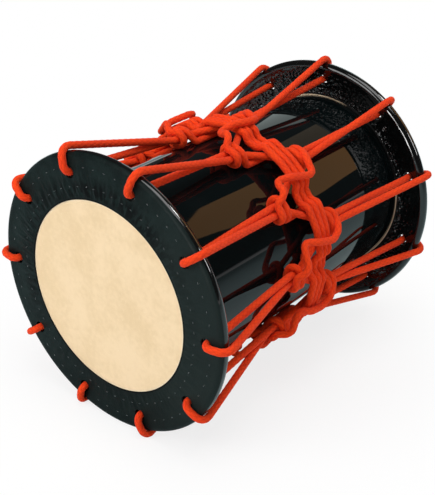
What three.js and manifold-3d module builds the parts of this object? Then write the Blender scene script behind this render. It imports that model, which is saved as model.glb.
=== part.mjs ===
import * as THREE from 'three';
import { mergeVertices } from 'three/addons/utils/BufferGeometryUtils.js';
import Module from 'manifold-3d';

const wasm = await Module();
wasm.setup();

// A rope-laced stave drum lying on its side, in millimetres with +Z up.
// The drum's axis runs along Y and its front head faces -Y.
// Angles round the axis are in degrees, from +X towards +Z.

// Shell of glued staves
const SHELL_RADIUS = 119.5;
const SHELL_WALL = 9.5;
const SHELL_LENGTH = 412;
const STAVE_COUNT = 10;
const GLUE_GAP = 0.3;

// Heads: hide lapped round an iron hoop, with a lacquered margin
const HEAD_RADIUS = 168;
const HIDE_THICKNESS = 2;
const HEAD_SEAT_GAP = 0.3;
const HOOP_ROD_RADIUS = 3.5;
const HOOP_FIT_GAP = 0.3;
const HOOP_SETBACK = 5;
const LACQUER_THICKNESS = 0.6;
const LACQUER_GAP = 0.3;
const CREAM_RADIUS = 114.7;
const SHOULDER_STEP = 0.6;
const HEM_EDGE_STEP = 4.5;
const HEM_FLAT = 8;
const HEM_GAP = 0.3;
const HEM_LACQUER_STEP = 1;

// Lacing holes and rope
const HOLE_COUNT = 10;
const HOLE_CIRCLE_STEP = 1.25;
const HOLE_RADIUS = 7;
const ROPE_DIAMETER = 8;
const ROPE_RIM_GAP = 0.3;
const ROPE_FACE_GAP = 0.5;
const ROPE_HOLE_BEND = 7;
const ROPE_JOIN_GAP = 0.3;
const PAIR_SPACING = 9.2;
const FLOOR_FLAT = 0.8;

// Waist lashing
const LASH_SHELL_GAP = 0.3;
const LASH_CLEARANCE = 0.45;
const FRONT_HITCH_SETBACK = 41;
const REAR_HITCH_SETBACK = 35;
const HITCH_PITCH = 10;
const HITCH_REST = 10.5;
const BAND_REAR_Y = 18;
const BAND_PITCH = 9;
const BAND_LAPS = 3;
const RUN_OFFSET = 24;
const RUN_END = 14;
const RUN_BACK = 16;
const TAIL_LENGTH = 32.5;
const BIGHT_REACH = [0.45, 0.31, 0.34, 0.42, 0.33, 0.44, 0.36, 0.4, 0.32, 0.43];

// Facets
const FACETS_PER_PITCH = 4;
const HOOP_ARC_STEPS = 3;
const BEAD_ARC_STEPS = 4;
const HOLE_SIDES = 6;
const ROPE_SIDES = 6;
const LASH_SIDES = 5;
const TURN_ARC_STEPS = 5;

const DEG = Math.PI / 180;
const FACETS = FACETS_PER_PITCH * HOLE_COUNT;
const PITCH = 360 / HOLE_COUNT;
const ropeRadius = ROPE_DIAMETER / 2;
const shellEnd = SHELL_LENGTH / 2;
const hoopY = shellEnd - HOOP_SETBACK;
const beadInner = HOOP_ROD_RADIUS + HOOP_FIT_GAP;
const beadOuter = beadInner + HIDE_THICKNESS;
const coatInner = beadOuter + LACQUER_GAP;
const coatOuter = coatInner + LACQUER_THICKNESS;
const hoopRadius = HEAD_RADIUS - coatOuter;
const hideInnerY = shellEnd + HEAD_SEAT_GAP;
const hideOuterY = hideInnerY + HIDE_THICKNESS;
const shoulderRadius = SHELL_RADIUS + SHOULDER_STEP;
const hemEdge = SHELL_RADIUS + HEM_EDGE_STEP;
const hemBend = hemEdge + HEM_FLAT;
const openRadius = CREAM_RADIUS - LACQUER_GAP;
const holeCircleRadius = (SHELL_RADIUS + HEAD_RADIUS) / 2 + HOLE_CIRCLE_STEP;

// Rope levels over the shell at the waist: under, through and over the pairs, and across the band
const pairHalf = PAIR_SPACING / 2;
const turnRise = (ROPE_DIAMETER + LASH_CLEARANCE) / Math.cos(Math.PI / 2 / TURN_ARC_STEPS);
const turnReach = pairHalf + turnRise;
const underRadius = SHELL_RADIUS + LASH_SHELL_GAP + ropeRadius;
const waistRadius = underRadius + turnRise;
const overRadius = waistRadius + turnRise;
const crossRadius = overRadius + turnRise;
const pairAngle = pairHalf / waistRadius / DEG;
const frontHitchY = -FRONT_HITCH_SETBACK;
const rearHitchY = REAR_HITCH_SETBACK;
const nudge = ROPE_DIAMETER / 8;

// Materials
const blackLacquer = new THREE.MeshStandardMaterial({ color: 0x0b0d0d, roughness: 0.12, metalness: 0 });
const creamHide = new THREE.MeshStandardMaterial({ color: 0xf0d9b0, roughness: 0.6, metalness: 0 });
const marginLacquer = new THREE.MeshStandardMaterial({ color: 0x141c1c, roughness: 0.35, metalness: 0 });
const iron = new THREE.MeshStandardMaterial({ color: 0x3a3a3c, roughness: 0.6, metalness: 0.9 });
const redRope = new THREE.MeshStandardMaterial({ color: 0xd8321a, roughness: 0.8, metalness: 0 });

const drum = new THREE.Group();

// Keep positions only, weld the vertices, drop empty triangles and face the surface outwards.
function closed(geometry) {
  const bare = new THREE.BufferGeometry();
  bare.setAttribute('position', geometry.getAttribute('position').clone());
  if (geometry.index) {
    bare.setIndex(geometry.index.clone());
  }
  const welded = mergeVertices(bare, 1e-4);
  const position = welded.getAttribute('position');
  const source = welded.index.array;
  const triangles = [];
  const a = new THREE.Vector3();
  const b = new THREE.Vector3();
  const c = new THREE.Vector3();
  let volume = 0;
  for (let i = 0; i < source.length; i += 3) {
    const [p, q, r] = [source[i], source[i + 1], source[i + 2]];
    if (p === q || q === r || r === p) {
      continue;
    }
    triangles.push([p, q, r]);
    a.fromBufferAttribute(position, p);
    b.fromBufferAttribute(position, q);
    c.fromBufferAttribute(position, r);
    volume += a.dot(b.cross(c));
  }
  const order = volume < 0 ? ([p, q, r]) => [p, r, q] : (triangle) => triangle;
  welded.setIndex(triangles.flatMap(order));
  return welded;
}

function toSolid(geometry) {
  return new wasm.Manifold(new wasm.Mesh({
    numProp: 3,
    vertProperties: new Float32Array(geometry.getAttribute('position').array),
    triVerts: new Uint32Array(geometry.index.array),
  }));
}

function toGeometry(solid) {
  const mesh = solid.getMesh();
  const geometry = new THREE.BufferGeometry();
  geometry.setAttribute('position', new THREE.BufferAttribute(new Float32Array(mesh.vertProperties), 3));
  geometry.setIndex(new THREE.BufferAttribute(new Uint32Array(mesh.triVerts), 1));
  return geometry;
}

function addPiece(name, geometry, material) {
  geometry.computeVertexNormals();
  const mesh = new THREE.Mesh(geometry, material);
  mesh.name = name;
  drum.add(mesh);
  return mesh;
}

// A point at an angle, a place along the axis and a radius, moved sideways along the tangent.
function at(angle, y, radius, side = 0) {
  const cos = Math.cos(angle * DEG);
  const sin = Math.sin(angle * DEG);
  return new THREE.Vector3(radius * cos - side * sin, y, radius * sin + side * cos);
}

function twoDigits(index) {
  return String(index + 1).padStart(2, '0');
}

// Revolve a profile of [radius, y] points, with flat facets centred on the lacing holes.
function revolve(profile) {
  const points = profile.map(([radius, y]) => new THREE.Vector2(radius, y));
  return closed(new THREE.LatheGeometry(points, FACETS, Math.PI / FACETS));
}

// Points on a circle round the hoop's section, from one angle to another.
function sectionArc(radius, fromAngle, toAngle, steps) {
  const points = [];
  for (let i = 0; i <= steps; i += 1) {
    const angle = (fromAngle + (toAngle - fromAngle) * i / steps) * DEG;
    points.push([hoopRadius + radius * Math.cos(angle), hoopY + radius * Math.sin(angle)]);
  }
  return points;
}

function mirrored(profile, end) {
  return profile.map(([radius, y]) => [radius, y * end]);
}

// Staves: facetted sectors of the shell, glued edge to edge
function staveGeometry(index) {
  const span = 360 / STAVE_COUNT;
  const start = index * span + 180 / FACETS;
  const steps = Math.max(2, Math.round(FACETS / STAVE_COUNT));
  const outline = [];
  const arc = (radius, reverse) => {
    const inset = GLUE_GAP / 2 / radius / DEG;
    for (let i = 0; i <= steps; i += 1) {
      const share = reverse ? 1 - i / steps : i / steps;
      const angle = (start + inset + (span - 2 * inset) * share) * DEG;
      outline.push(new THREE.Vector2(radius * Math.cos(angle), radius * Math.sin(angle)));
    }
  };
  arc(SHELL_RADIUS, false);
  arc(SHELL_RADIUS - SHELL_WALL, true);
  const stave = new THREE.ExtrudeGeometry(new THREE.Shape(outline), {
    depth: SHELL_LENGTH,
    bevelEnabled: false,
  });
  stave.rotateX(Math.PI / 2);
  stave.translate(0, shellEnd, 0);
  return closed(stave);
}

for (let i = 0; i < STAVE_COUNT; i += 1) {
  addPiece(`stave_${twoDigits(i)}`, staveGeometry(i), blackLacquer);
}

// Height of the hide's inner face at a radius between the shoulder and the hoop
function hideInnerAt(radius) {
  const share = (radius - shoulderRadius) / (hoopRadius - shoulderRadius);
  return hideInnerY + (hoopY + beadInner - hideInnerY) * share;
}

// The hide runs over the shell's end, round the hoop and back to a hem sewn under the margin.
// Its flat face is parted where the lacquer starts, so that the open part is a face of its own.
function hideProfile() {
  const hemTop = (radius) => hideInnerAt(radius) - HEM_GAP;
  const hemUnder = (radius) => hemTop(radius) - HIDE_THICKNESS;
  return [
    [0, hideOuterY],
    [openRadius, hideOuterY],
    [shoulderRadius, hideOuterY],
    ...sectionArc(beadOuter, 90, -90, BEAD_ARC_STEPS),
    [hemBend, hemUnder(hemBend)],
    [hemEdge, hemUnder(hemEdge)],
    [hemEdge, hemTop(hemEdge)],
    [hemBend, hemTop(hemBend)],
    ...sectionArc(beadInner, -90, 90, HOOP_ARC_STEPS),
    [shoulderRadius, hideInnerY],
    [0, hideInnerY],
  ];
}

// The lacquer covers the margin from the cream circle, over the bead and down to the hem's edge.
function lacquerProfile() {
  const hemUnder = (radius) => hideInnerAt(radius) - HEM_GAP - HIDE_THICKNESS;
  const coatEdge = hemEdge + HEM_LACQUER_STEP;
  const faceIn = hideOuterY + LACQUER_GAP;
  const faceOut = faceIn + LACQUER_THICKNESS;
  const backIn = (radius) => hemUnder(radius) - LACQUER_GAP;
  const backOut = (radius) => backIn(radius) - LACQUER_THICKNESS;
  return [
    [CREAM_RADIUS, faceOut],
    [shoulderRadius, faceOut],
    ...sectionArc(coatOuter, 90, -90, BEAD_ARC_STEPS),
    [hemBend, backOut(hemBend)],
    [coatEdge, backOut(coatEdge)],
    [coatEdge, backIn(coatEdge)],
    [hemBend, backIn(hemBend)],
    ...sectionArc(coatInner, -90, 90, BEAD_ARC_STEPS),
    [shoulderRadius, faceIn],
    [CREAM_RADIUS, faceIn],
    [CREAM_RADIUS, faceOut],
  ];
}

// Lacing holes go straight through both layers of a head.
function holeAngle(end, index) {
  return end < 0 ? PITCH * index : PITCH * (index + 0.5);
}

function cutHoles(geometry, end) {
  let solid = toSolid(geometry);
  const length = 4 * coatOuter;
  for (let i = 0; i < HOLE_COUNT; i += 1) {
    const drill = new THREE.CylinderGeometry(HOLE_RADIUS, HOLE_RADIUS, length, HOLE_SIDES);
    const centre = at(holeAngle(end, i), end * hoopY, holeCircleRadius);
    drill.translate(centre.x, centre.y, centre.z);
    solid = solid.subtract(toSolid(closed(drill)));
  }
  return toGeometry(solid);
}

for (const [label, end] of [['front', -1], ['rear', 1]]) {
  const rod = sectionArc(HOOP_ROD_RADIUS, -90, 270, 2 * HOOP_ARC_STEPS);
  addPiece(`${label}_hoop`, revolve(mirrored(rod, end)), iron);
  addPiece(`${label}_hide`, cutHoles(revolve(mirrored(hideProfile(), end)), end), creamHide);
  addPiece(`${label}_lacquer_margin`, cutHoles(revolve(mirrored(lacquerProfile(), end)), end), marginLacquer);
}

// A rope's route goes through its own points, with a ring of the rope's surface at each one.
class RopeRoute extends THREE.Curve {
  constructor(points) {
    super();
    this.points = points;
  }

  getPoint(t, target = new THREE.Vector3()) {
    const last = this.points.length - 1;
    const place = Math.min(Math.max(t, 0), 1) * last;
    const index = Math.min(Math.floor(place + 1e-9), last - 1);
    return target.lerpVectors(this.points[index], this.points[index + 1], place - index);
  }

  getPointAt(u, target) {
    return this.getPoint(u, target);
  }

  getTangentAt(u, target = new THREE.Vector3()) {
    const last = this.points.length - 1;
    const index = Math.round(u * last);
    const before = this.points[index].clone().sub(this.points[Math.max(index - 1, 0)]).normalize();
    const after = this.points[Math.min(index + 1, last)].clone().sub(this.points[index]).normalize();
    return target.addVectors(before, after).normalize();
  }
}

function ropeGeometry(points, sides) {
  const section = [];
  for (let i = 0; i < sides; i += 1) {
    const angle = 2 * Math.PI * i / sides;
    section.push(new THREE.Vector2(ropeRadius * Math.cos(angle), ropeRadius * Math.sin(angle)));
  }
  return closed(new THREE.ExtrudeGeometry(new THREE.Shape(section), {
    steps: points.length - 1,
    extrudePath: new RopeRoute(points),
  }));
}

// The rope over a head's rim, as [radius, outward y]: round the bead, down the face and into the hole
const rimRadius = coatOuter + ROPE_RIM_GAP + ropeRadius;
const faceY = hideOuterY + LACQUER_GAP + LACQUER_THICKNESS + ROPE_FACE_GAP + ropeRadius;
const joinY = hoopY;

function rimRoute(fromRadius, fromY) {
  const gapRadius = hoopRadius - fromRadius;
  const gapY = hoopY - fromY;
  const reach = Math.hypot(gapRadius, gapY);
  const touch = (Math.atan2(-gapY, -gapRadius) + Math.acos(rimRadius / reach)) / DEG;
  const points = [];
  const steps = 4;
  for (let i = 0; i <= steps; i += 1) {
    const angle = (touch + (75 - touch) * i / steps) * DEG;
    points.push([hoopRadius + rimRadius * Math.cos(angle), hoopY + rimRadius * Math.sin(angle)]);
  }
  const bend = holeCircleRadius + ROPE_HOLE_BEND;
  for (const angle of [90, 135, 180]) {
    points.push([
      bend + ROPE_HOLE_BEND * Math.cos(angle * DEG),
      faceY - ROPE_HOLE_BEND + ROPE_HOLE_BEND * Math.sin(angle * DEG),
    ]);
  }
  points.push([holeCircleRadius, joinY + ROPE_JOIN_GAP / 2]);
  return points;
}

// One stretch of lacing: out of a hole at one head, past both hitches and over the rim at the other
function legPoints(lowEnd, lowAngle, highEnd, highAngle) {
  const turn = Math.sign(highAngle - lowAngle);
  const hitchY = (end) => (end < 0 ? frontHitchY : rearHitchY);
  const lowSide = lowAngle + turn * pairAngle;
  const highSide = highAngle - turn * pairAngle;
  const lowFar = hitchY(lowEnd) + lowEnd * HITCH_REST;
  const lowNear = hitchY(lowEnd) - lowEnd * HITCH_REST;
  const highNear = hitchY(highEnd) - highEnd * HITCH_REST;
  const highFar = hitchY(highEnd) + highEnd * HITCH_REST;
  const points = [
    at(lowAngle, lowEnd * (joinY - ROPE_JOIN_GAP / 2), holeCircleRadius),
    at(lowAngle, lowEnd * (hoopY - beadOuter - ropeRadius), holeCircleRadius),
    at(lowSide, lowFar, waistRadius),
    at(lowSide, lowNear, waistRadius),
    at((lowSide + highSide) / 2, (lowNear + highNear) / 2, waistRadius),
    at(highSide, highNear, waistRadius),
    at(highSide, highFar, waistRadius),
  ];
  for (const [radius, outward] of rimRoute(waistRadius, highEnd * highFar)) {
    points.push(at(highAngle, highEnd * outward, radius));
  }
  return points;
}

const legRoutes = [];
for (let k = 0; k < HOLE_COUNT; k += 1) {
  const front = PITCH * k;
  legRoutes.push(legPoints(-1, front, 1, front + PITCH / 2));
  legRoutes.push(legPoints(1, front + PITCH / 2, -1, front + PITCH));
}

// The waist lashing is one rope. It first ties every pair in turn: two wraps on a front pair, a bight beside
// the band and a strand across it to the next rear pair, two wraps there and a run back along the shell.
const wrapStep = HITCH_PITCH / 2 / (TURN_ARC_STEPS + 1);

function hitchTurn(points, angle, fromStep, toStep, fromY) {
  for (let i = fromStep; i <= toStep; i += 1) {
    const half = Math.floor(i / (TURN_ARC_STEPS + 1));
    const part = i - half * (TURN_ARC_STEPS + 1);
    const round = (90 - 180 * half - 180 * part / TURN_ARC_STEPS) * DEG;
    const strand = half % 2 === 0 ? pairHalf : -pairHalf;
    const y = fromY - wrapStep * (i - fromStep);
    points.push(at(angle, y, waistRadius + turnRise * Math.sin(round), strand + turnRise * Math.cos(round)));
  }
}

function crossStrand(points, front, rear, reach) {
  const aside = (share) => front + (reach - share) * PITCH;
  points.push(at(front, frontHitchY - 3.5 * nudge, overRadius + 3.5 * nudge, 7.5 * nudge));
  points.push(at(front, frontHitchY + 1.5 * nudge, crossRadius - nudge, 10.5 * nudge));
  points.push(at(front, frontHitchY + 6 * nudge, crossRadius, turnReach + 3 * nudge));
  points.push(at(aside(0.07), frontHitchY + 9 * nudge, overRadius + 5 * nudge));
  points.push(at(aside(0), frontHitchY + 13.5 * nudge, overRadius + 3 * nudge));
  points.push(at(aside(0), frontHitchY + 20 * nudge, overRadius + 4 * nudge));
  points.push(at(aside(0.04), frontHitchY + 29 * nudge, crossRadius));
  points.push(at(aside(0.12), BAND_REAR_Y + nudge, crossRadius));
  points.push(at(rear, rearHitchY - 6 * nudge, crossRadius, -11 * nudge));
  points.push(at(rear, rearHitchY - nudge, crossRadius, -8.5 * nudge));
  points.push(at(rear, rearHitchY + 3.5 * nudge, overRadius + 3.5 * nudge, -6.5 * nudge));
}

function leaveTurn(points, angle, y) {
  points.push(at(angle, y - 8.5 * nudge, waistRadius - turnRise * 0.5, turnReach + nudge));
  points.push(at(angle, y - 11 * nudge, underRadius + nudge, turnReach + 5 * nudge));
}

function hitchCircuit(points) {
  const runSide = RUN_OFFSET / underRadius / DEG;
  for (let k = 0; k < HOLE_COUNT; k += 1) {
    const front = PITCH * k;
    const rear = front + PITCH / 2;
    if (k === 0) {
      points.push(at(rear - PITCH + runSide, frontHitchY + TAIL_LENGTH, underRadius));
    }
    points.push(at(rear - PITCH + runSide, frontHitchY + RUN_END, underRadius));
    hitchTurn(points, front, -3, 12, frontHitchY + 0.7 * HITCH_PITCH);
    crossStrand(points, front, rear, BIGHT_REACH[k]);
    hitchTurn(points, rear, -1, 14, rearHitchY + 0.55 * HITCH_PITCH);
    leaveTurn(points, rear, rearHitchY);
    if (k < HOLE_COUNT - 1) {
      points.push(at(rear + runSide, rearHitchY - RUN_BACK, underRadius));
    }
  }
}

// Then it laps the waist as a flat band, dipping between the arms of each front pair, and its end is tucked under.
function bandY(angle) {
  return BAND_REAR_Y - BAND_PITCH * (angle / 360 - 1);
}

const dipHalf = 3;
const dipRadius = waistRadius / Math.cos(dipHalf * DEG);

function lapPoint(points, angle, level) {
  points.push(at(angle, bandY(angle), level));
}

function bandLaps(points) {
  const start = 360;
  const end = start + 360 * BAND_LAPS;
  points.push(at(start - 7.5, bandY(start) + nudge, underRadius + 5 * nudge));
  lapPoint(points, start - dipHalf, dipRadius);
  for (let front = start; front < end; front += PITCH) {
    if (front > start) {
      lapPoint(points, front - 2 * dipHalf, overRadius);
      lapPoint(points, front - dipHalf, dipRadius);
    }
    lapPoint(points, front + dipHalf, dipRadius);
    lapPoint(points, front + 2 * dipHalf, overRadius);
    lapPoint(points, front + PITCH / 2, overRadius);
  }
  lapPoint(points, end - 2 * dipHalf, overRadius);
  lapPoint(points, end - dipHalf, dipRadius);
  points.push(at(end, bandY(end), waistRadius - 3 * nudge));
  points.push(at(end + 2.5, bandY(end), underRadius + nudge));
  points.push(at(end + 6, bandY(end) + 3 * nudge, underRadius));
}

const lashRoute = [];
hitchCircuit(lashRoute);
bandLaps(lashRoute);

// The least gap of the lashing to itself, measured on points along its route
function leastGap(route) {
  const step = 2;
  const samples = [];
  let along = 0;
  for (let i = 0; i + 1 < route.length; i += 1) {
    const length = route[i].distanceTo(route[i + 1]);
    const count = Math.max(1, Math.ceil(length / step));
    for (let j = 0; j < count; j += 1) {
      const point = route[i].clone().lerp(route[i + 1], j / count);
      samples.push({ point, along: along + length * j / count, index: i });
    }
    along += length;
  }
  let least = { gap: Infinity };
  for (let i = 0; i < samples.length; i += 1) {
    for (let j = i + 1; j < samples.length; j += 1) {
      if (samples[j].along - samples[i].along < 3 * ROPE_DIAMETER) {
        continue;
      }
      const gap = samples[i].point.distanceTo(samples[j].point) - ROPE_DIAMETER;
      if (gap < least.gap) {
        least = { gap, from: samples[i].index, to: samples[j].index };
      }
    }
  }
  return least;
}

const lashGap = leastGap(lashRoute);
console.log(`waist_lashing: least gap to itself ${lashGap.gap.toFixed(2)} mm`);

// The drum lies on the front rim and on the rear rope at the bottom, which is pressed flat there.
const frontRest = HEAD_RADIUS * Math.cos(Math.PI / FACETS);
const rearRest = hoopRadius + rimRadius + ropeRadius - FLOOR_FLAT;
const tilt = Math.atan2(rearRest - frontRest, 2 * hoopY);
const floorLine = (y) => -(frontRest + rearRest) / 2 - y * Math.tan(tilt);

function pressedFlat(geometry) {
  const position = geometry.getAttribute('position');
  let lowest = Infinity;
  for (let i = 0; i < position.count; i += 1) {
    lowest = Math.min(lowest, position.getZ(i) - floorLine(position.getY(i)));
  }
  if (lowest >= 0) {
    return geometry;
  }
  const depth = 4 * ROPE_DIAMETER;
  const floor = new THREE.BoxGeometry(3 * HEAD_RADIUS, 3 * SHELL_LENGTH, depth);
  floor.translate(0, 0, -depth / 2);
  floor.rotateX(-tilt);
  floor.translate(0, 0, floorLine(0));
  return toGeometry(toSolid(geometry).subtract(toSolid(closed(floor))));
}

legRoutes.forEach((route, index) => {
  addPiece(`lacing_leg_${twoDigits(index)}`, pressedFlat(ropeGeometry(route, ROPE_SIDES)), redRope);
});
addPiece('waist_lashing', ropeGeometry(lashRoute, LASH_SIDES), redRope);

// At rest: level on the floor, with the origin under the middle of the whole drum
drum.rotation.x = tilt;
drum.updateMatrixWorld(true);
const box = new THREE.Box3().setFromObject(drum, true);
const centre = box.getCenter(new THREE.Vector3());
drum.position.set(-centre.x, -centre.y, -box.min.z);

export default drum;
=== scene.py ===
import math

import bmesh
import bpy
import numpy as np
from mathutils import Matrix, Vector, noise


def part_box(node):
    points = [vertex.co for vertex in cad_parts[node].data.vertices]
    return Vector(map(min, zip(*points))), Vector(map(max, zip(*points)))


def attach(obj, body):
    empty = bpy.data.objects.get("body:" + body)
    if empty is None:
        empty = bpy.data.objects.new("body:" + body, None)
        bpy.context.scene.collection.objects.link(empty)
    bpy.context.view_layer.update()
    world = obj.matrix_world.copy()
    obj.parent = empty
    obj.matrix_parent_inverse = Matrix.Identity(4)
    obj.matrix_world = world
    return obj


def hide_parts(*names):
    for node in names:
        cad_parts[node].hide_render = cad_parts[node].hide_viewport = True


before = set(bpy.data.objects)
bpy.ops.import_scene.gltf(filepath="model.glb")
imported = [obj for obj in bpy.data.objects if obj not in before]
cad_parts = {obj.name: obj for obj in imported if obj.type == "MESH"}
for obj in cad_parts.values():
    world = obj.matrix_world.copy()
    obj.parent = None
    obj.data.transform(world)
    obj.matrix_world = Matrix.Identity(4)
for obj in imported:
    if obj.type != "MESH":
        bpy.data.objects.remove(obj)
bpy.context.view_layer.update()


def hoop_middle(label):
    low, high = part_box(label + "_hoop")
    return (low + high) / 2


# The drum's own frame is in millimetres: its axis runs along Y and the front head faces -Y.
# Angles round the axis are in degrees, from +X towards +Z. The drum lies on its front rim and on the rope at
# its rear rim, so its axis is tilted. The middles of the hoops give that tilt and the drum's place.
MM = 0.001
FRONT_MIDDLE = hoop_middle("front")
REAR_MIDDLE = hoop_middle("rear")
TILT = math.atan2(REAR_MIDDLE.z - FRONT_MIDDLE.z, REAR_MIDDLE.y - FRONT_MIDDLE.y)
REST_PLACE = (FRONT_MIDDLE + REAR_MIDDLE) / 2
DRUM_TO_SCENE = Matrix.Translation(REST_PLACE) @ Matrix.Rotation(TILT, 4, "X") @ Matrix.Scale(MM, 4)

# Sizes of the shell
SHELL_RADIUS = 119.5
SHELL_WALL = 9.5
SHELL_END = 206.0
SHELL_EDGE = 1.2
SHELL_STEPS = 180

# Sizes of the heads
HOLE_COUNT = 10
PITCH = 360 / HOLE_COUNT
HOLE_CIRCLE = 145.0
HOLE_RADIUS = 7.0
HIDE_HOLE_RADIUS = HOLE_RADIUS + 0.5
DRILL_SIDES = 28
DRILL_DEPTH = 34
HEAD_RADIUS = 167.5
CREAM_RADIUS = 114.7
SHOULDER_RADIUS = 120.1
HIDE_INNER_Y = 206.3
HIDE_THICKNESS = 2.0
HIDE_BEAD = 5.8
HIDE_STEPS = 160
COAT_BEAD = 6.7
COAT_THICKNESS = 0.6
COAT_GAP = 0.3
COAT_LIP = 0.25
COAT_STEPS = 720
COAT_FLOOR_Y = HIDE_INNER_Y + HIDE_THICKNESS + COAT_GAP
COAT_FACE_Y = COAT_FLOOR_Y + COAT_THICKNESS
HOOP_Y = 201.0
HOOP_RADIUS = HEAD_RADIUS - COAT_BEAD
BEAD_CENTRE = (HOOP_RADIUS, HOOP_Y)
OUTER_SIDE_Y = HOOP_Y + 4
HEM_EDGE = 124.0
HEM_BEND = 132.0
COAT_EDGE = 125.0

# Stitches: two rings, on the outer face and on the drum side
STITCH_COUNT = 60
STITCH_RINGS = (129.5, 151.0)
STITCH_LENGTH = 1.5
STITCH_WIDTH = 0.75
STITCH_RISE_OUTSIDE = 0.4
STITCH_RISE_INSIDE = 0.9
STITCH_HOLE_ANGLE = 4.2

# Radii over which the margin's puckers, the painted shade of its folds and the hem's pleats rise, fade and
# end, and heights
PUCKER_RISE = (116.5, 121)
PUCKER_FADE = (132, 150)
PUCKER_END = (153, 158)
PUCKER_HEIGHT = 1.1
FOLD_RISE = (116, 119)
FOLD_FADE = (138, 152)
PLEAT_FADE = (127, 151)
PLEAT_END = (151, 158)
PLEAT_HEIGHT = 0.9
CRUMPLE_HEIGHT = 2.7

# Sizes of the rope
ROPE_RADIUS = 4.25
ROPE_STEP = 4.0
RINGS_PER_STEP = 2
ROPE_BEVEL = 5
BRAID_STARTS = 5
BRAID_LENGTH = 8.5
BRAID_RISE = 0.16
FLOOR_CLEARANCE = 0.2

# Levels of the rope's routes: on the shell, as a pair's arms, over the arms and over the band
STRAND_SPACING = 8.45
PAIR_HALF = 4.6
TURN_STEPS = 5
TURN_RISE = STRAND_SPACING / math.cos(math.pi / 2 / TURN_STEPS)
TURN_REACH = PAIR_HALF + TURN_RISE
UNDER = 123.8
WAIST = UNDER + TURN_RISE
OVER = WAIST + TURN_RISE
ACROSS = OVER + TURN_RISE
PAIR_ANGLE = math.degrees(PAIR_HALF / WAIST)

# The lacing's way round a rim and through a hole
RIM_RADIUS = 11.0
RIM_CENTRE = HOOP_RADIUS + 0.5
RIM_STEPS = 4
RIM_LAST_ANGLE = 75
FACE_Y = 213.7
HOLE_BEND = 7.0
HOLE_EXIT_Y = 191.2

# The lashing's hitches, runs and band
FRONT_HITCH_Y = -41.0
REAR_HITCH_Y = 35.0
HITCH_REST = 10.5
HITCH_PITCH = 10.0
WRAP_STEP = HITCH_PITCH / 2 / (TURN_STEPS + 1)
FRONT_WRAP_STEPS = (-3, 12)
FRONT_WRAP_Y = FRONT_HITCH_Y + 7
REAR_WRAP_STEPS = (0, 14)
REAR_WRAP_Y = REAR_HITCH_Y + 5.5 - WRAP_STEP
RUN_OFFSET = 24.0
RUN_SIDE = math.degrees(RUN_OFFSET / UNDER)
RUN_END = 14
RUN_BACK = 16
TAIL_LENGTH = 32.5
BAND_REAR_Y = 18.0
BAND_PITCH = 9.0
BAND_LAPS = 3
BAND_DIP = 3
BAND_SWAY = 2.4
SWAY_SCALE = 2.3
SWAY_TURN = 100

# A strand from a front pair to a rear pair. On a pair each row has y from the hitch, the radius and how far
# to the side. In the bight and across the band it has a share of the pitch short of the bight's reach, y from
# the front hitch and the radius.
STRAND_START = ((-3.5, OVER + 3.5, 7.5), (1.5, ACROSS - 1, 10.5), (6, ACROSS, TURN_REACH + 4))
STRAND_BIGHT = ((0.085, 9, OVER + 4), (0, 12.5, OVER + 2.5), (0, 19, OVER + 4))
STRAND_OVER_BAND = ((0.04, 30, ACROSS), (0.09, 46, ACROSS), (0.12, 58, ACROSS), (0.1, 66, ACROSS - 1.5))
STRAND_END = ((-5, ACROSS - 1, -9), (1, OVER + 4.5, -3), (4, OVER + 1.5, 2.5))
RUN_START = ((-8.5, WAIST - TURN_RISE / 2, TURN_REACH + 1), (-11, UNDER + 1, TURN_REACH + 5))
BIGHT_REACH = (0.45, 0.31, 0.34, 0.42, 0.33, 0.44, 0.36, 0.4, 0.32, 0.43)

# Camera, at the photograph's place
CAMERA_AZIMUTH = math.radians(39.75)
CAMERA_ELEVATION = math.radians(27.98)
CAMERA_PLACE = Vector((709.2, -868.2, 573.2))
FOCAL_PIXELS = 1015.02
LONG_SIDE_PIXELS = 495
SENSOR = 36.0

# Studio, in metres
FLOOR_RADIUS = 9.0
SHADOW_REACH = (0.18, 0.42)
SHADOW_GLOW = 0.8
AIR_LEVEL = 0.34
WALL_Y = 1.5

# Colours
WHITE = (1, 1, 1, 1)
SHELL_BLACK = (0.0018, 0.004, 0.0044, 1)
SHELL_DUST = (0.008, 0.0105, 0.0108, 1)
CREAM = (0.9, 0.69, 0.435, 1)
CREAM_DEEP = (0.8, 0.595, 0.345, 1)
CREAM_FLECK = (0.92, 0.76, 0.54, 1)
# Painted highlight: lighter cream along the skin's edge by the margin
CREAM_PAINTED_HIGHLIGHT = (0.96, 0.82, 0.62, 1)
HEM_BLACK = (0.006, 0.006, 0.006, 1)
SATIN_BLACK = (0.0068, 0.0138, 0.0129, 1)
SATIN_DEEP = (0.0022, 0.0052, 0.0049, 1)
# Painted light: the margin's satin is lighter towards the right
SATIN_PAINTED_LIGHT = (0.0125, 0.0195, 0.0185, 1)
# Painted shade: the margin's satin is darker at the foot
SATIN_PAINTED_SHADE = (0.0018, 0.004, 0.0038, 1)
# Painted shade: near-black in the margin's puckers and along its edge by the cream
FOLD_PAINTED_SHADE = (0.0012, 0.0016, 0.0016, 1)
BEAD_BLACK = (0.0022, 0.0024, 0.0024, 1)
MARGIN_DUST = (0.022, 0.026, 0.026, 1)
THREAD_BLACK = (0.006, 0.0085, 0.0085, 1)
THREAD_GREY = (0.015, 0.019, 0.019, 1)
IRON_GREY = (0.045, 0.045, 0.047, 1)
IRON_RUST = (0.12, 0.06, 0.03, 1)
ROPE_RED = (0.88, 0.058, 0.006, 1)
ROPE_DEEP = (0.76, 0.04, 0.006, 1)
# Painted shade in the braid's grooves
ROPE_PAINTED_SHADE = (0.42, 0.014, 0.004, 1)
ROPE_FIBRE = (0.93, 0.1, 0.015, 1)
FLOOR_PAPER = (0.93, 0.93, 0.93, 1)
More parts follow.
